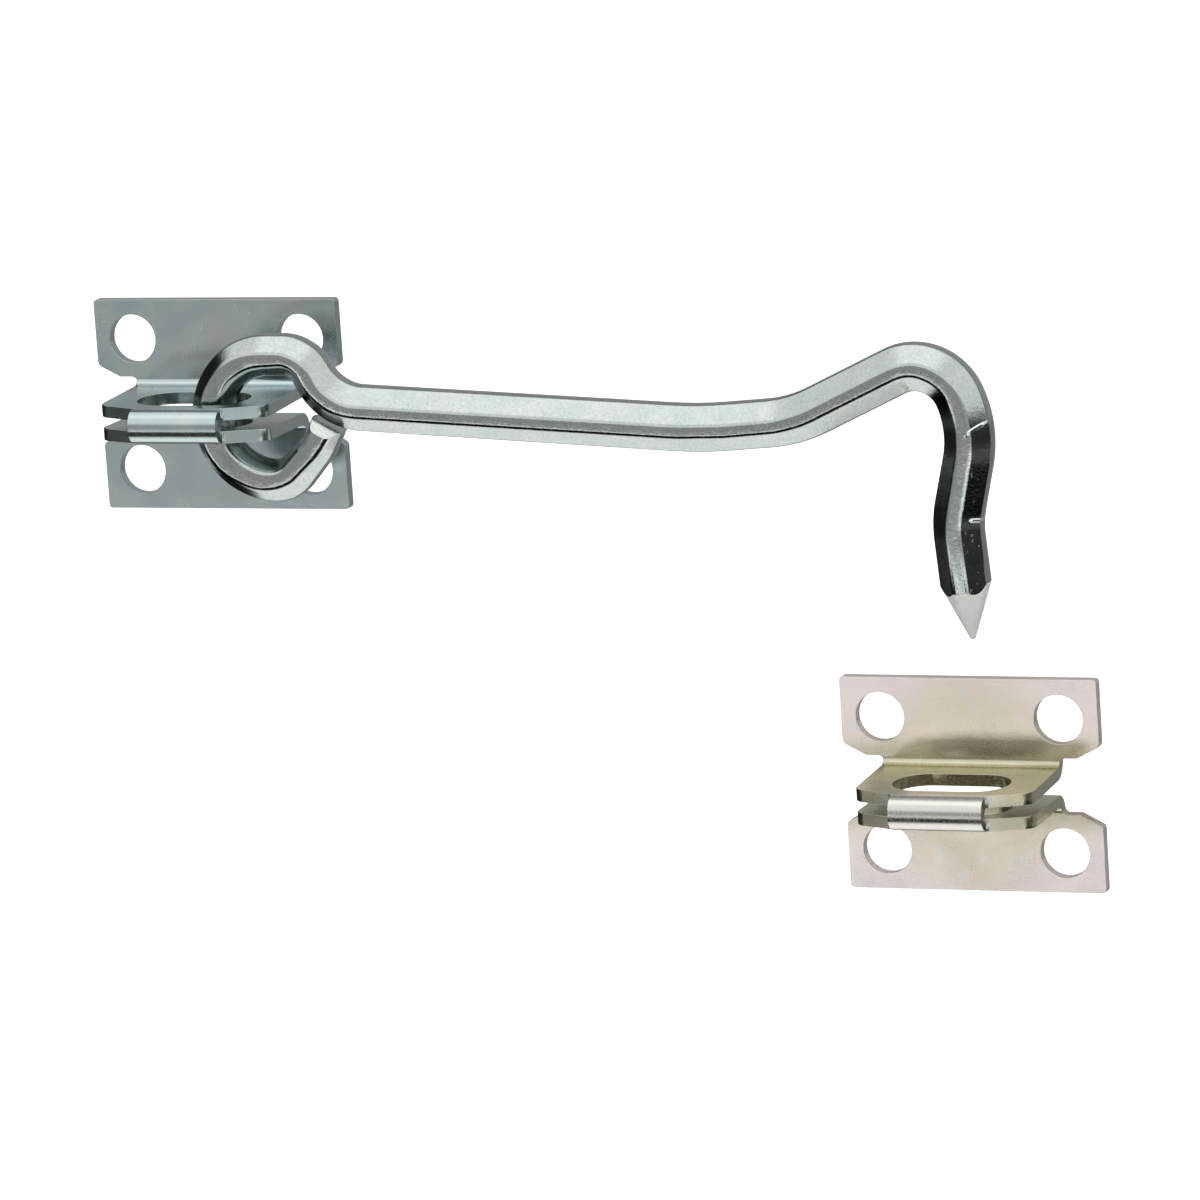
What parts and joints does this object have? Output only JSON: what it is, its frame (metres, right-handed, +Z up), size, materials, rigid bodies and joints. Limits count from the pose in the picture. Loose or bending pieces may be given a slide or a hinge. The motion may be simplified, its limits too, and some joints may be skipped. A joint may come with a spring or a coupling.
{
  "type": "gate hook",
  "caption": "Bent steel gate hook hanging by its eye in a folded sheet screw-on plate, with a matching loose catch plate for its point.",
  "frame": {"origin": "middle of the hook plate's back, in the wall's plane between its two ears", "axes": "+X along the hook from eye to point, +Y into the wall that the plates are screwed to, +Z up"},
  "size_m": [0.1414, 0.0193, 0.0814],
  "materials": {
    "plate_zinc": "blue-grey bright zinc plating on folded sheet, satin",
    "bar_zinc": "bright zinc plating on a pressed bar, glossy with fine scratches",
    "passivated_zinc": "warm, faintly iridescent passivated zinc on folded sheet, satin"
  },
  "bodies": {
    "plates": {"hook_plate": "plate_zinc", "catch_plate": "passivated_zinc"},
    "hook": {"hook": "bar_zinc"}
  },
  "joints": [
    {"name": "hook_lift", "type": "hinge", "parent": "plates", "child": "hook", "pos_m": [0.0115, -0.0107, 0], "axis": [0, -1, 0], "range_deg": [-14.4, 155]}
  ]
}
